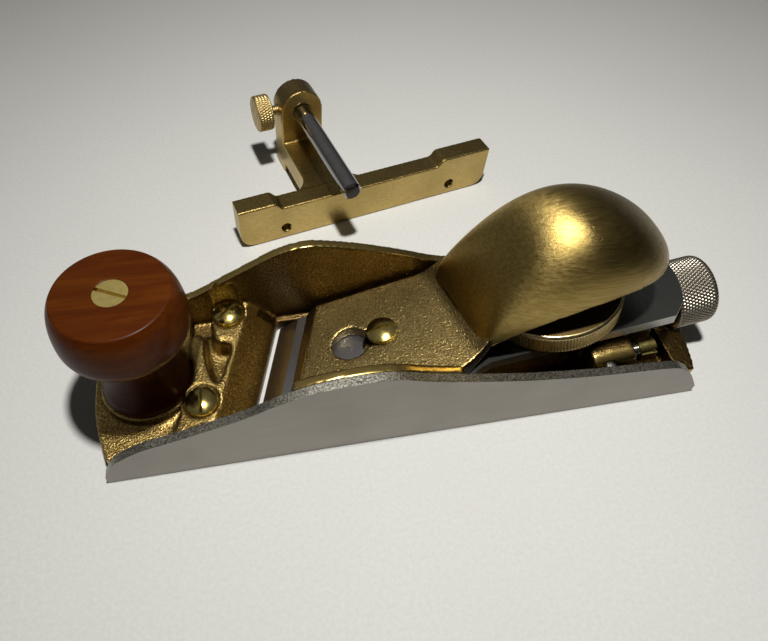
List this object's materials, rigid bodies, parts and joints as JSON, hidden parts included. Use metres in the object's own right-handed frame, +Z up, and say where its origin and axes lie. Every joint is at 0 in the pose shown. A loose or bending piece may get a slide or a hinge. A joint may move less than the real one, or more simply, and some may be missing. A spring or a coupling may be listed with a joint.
{
  "type": "skew block plane",
  "caption": "Low angle block plane with a skewed blade, a loose side plate, a domed palm rest over a spin wheel, a turned wooden front knob and a separate rod fence.",
  "frame": {"origin": "on the sole, at the middle of its length and of the width over the side wall and the side plate", "axes": "+X toward the heel, +Y toward the solid side wall, +Z up from the sole"},
  "size_m": [0.1902, 0.1372, 0.0581],
  "materials": {
    "body": "as-cast bronze, crinkled inside, brushed outside",
    "side_plate": "ground",
    "plate_pin_front": "turned",
    "plate_pin_rear": "turned",
    "plate_toe_screw": "turned",
    "rod_lock_screw": "turned",
    "plate_heel_screw": "turned",
    "knob": "oiled reddish fruitwood, end grain on top",
    "knob_screw": "turned",
    "blade": "ground, darker than the side plate",
    "lever_cap": "as-cast bronze in front, brushed dome",
    "lever_cap_screw": "turned",
    "spin_wheel": "turned and knurled",
    "adjuster_knob": "diamond knurled",
    "adjuster_screw": "turned",
    "adjuster_retainer": "turned",
    "adjuster_carriage": "machined",
    "fence": "machined and brushed bronze",
    "fence_rod": "polished",
    "fence_thumb_screw": "turned and knurled"
  },
  "bodies": {
    "plane": {"body": "body", "knob": "knob", "knob_screw": "knob_screw"},
    "plate": {"side_plate": "side_plate", "plate_pin_front": "plate_pin_front", "plate_pin_rear": "plate_pin_rear"},
    "toe_screw": {"plate_toe_screw": "plate_toe_screw"},
    "lock_screw": {"rod_lock_screw": "rod_lock_screw"},
    "heel_screw": {"plate_heel_screw": "plate_heel_screw"},
    "cap_screw": {"lever_cap_screw": "lever_cap_screw"},
    "iron": {"blade": "blade", "adjuster_carriage": "adjuster_carriage"},
    "cap": {"lever_cap": "lever_cap"},
    "wheel": {"spin_wheel": "spin_wheel"},
    "adjuster": {"adjuster_knob": "adjuster_knob", "adjuster_screw": "adjuster_screw", "adjuster_retainer": "adjuster_retainer"},
    "fence": {"fence": "fence"},
    "rod": {"fence_rod": "fence_rod"},
    "thumb_screw": {"fence_thumb_screw": "fence_thumb_screw"}
  },
  "joints": [
    {"name": "plate_off", "type": "slide", "parent": "plane", "child": "plate", "axis": [0, -1, 0], "range_m": [0, 0.03]},
    {"name": "toe_screw_turn", "type": "hinge", "parent": "plane", "child": "toe_screw", "pos_m": [-0.05914, -0.0112, 0.0135], "axis": [0, 0, 1], "range_deg": [0, 720]},
    {"name": "lock_screw_turn", "type": "hinge", "parent": "plane", "child": "lock_screw", "pos_m": [-0.04946, 0.0186, 0.0135], "axis": [0, 0, 1], "range_deg": [0, 720]},
    {"name": "heel_screw_turn", "type": "hinge", "parent": "plane", "child": "heel_screw", "pos_m": [0.052, -0.0176, 0.0142], "axis": [0.9802, 0, 0.1981], "range_deg": [0, 720]},
    {"name": "cap_screw_turn", "type": "hinge", "parent": "plane", "child": "cap_screw", "pos_m": [-0.00482, 0.00191, 0.01527], "axis": [-0.1977, 0.0642, 0.9781], "range_deg": [0, 720]},
    {"name": "blade_feed", "type": "slide", "parent": "plane", "child": "iron", "axis": [0.9802, 0, 0.1981], "range_m": [-0.0006, 0.003]},
    {"name": "adjuster_turn", "type": "hinge", "parent": "plane", "child": "adjuster", "pos_m": [0.08478, 0.00145, 0.01414], "axis": [0.9802, 0, 0.1981], "range_deg": [-270, 1350]},
    {"name": "cap_slide", "type": "slide", "parent": "plane", "child": "cap", "axis": [0.9802, 0, 0.1981], "range_m": [0, 0.01]},
    {"name": "wheel_turn", "type": "hinge", "parent": "cap", "child": "wheel", "pos_m": [0.04488, 0.00185, 0.0243], "axis": [-0.1977, 0.0642, 0.9781], "range_deg": [0, 720]},
    {"name": "fence_lift", "type": "slide", "parent": "plane", "child": "fence", "axis": [0, 0, 1], "range_m": [0, 0.12]},
    {"name": "rod_slide", "type": "slide", "parent": "fence", "child": "rod", "axis": [-0.2062, 0.9785, 0], "range_m": [-0.012, 0.03]},
    {"name": "thumb_screw_turn", "type": "hinge", "parent": "fence", "child": "thumb_screw", "pos_m": [-0.02653, 0.10337, 0.025], "axis": [-0.9785, -0.2062, 0], "range_deg": [0, 720]}
  ],
  "couplings": [
    {"joint": "adjuster_turn", "follows": "blade_feed", "rad_per_m": 7854}
  ]
}
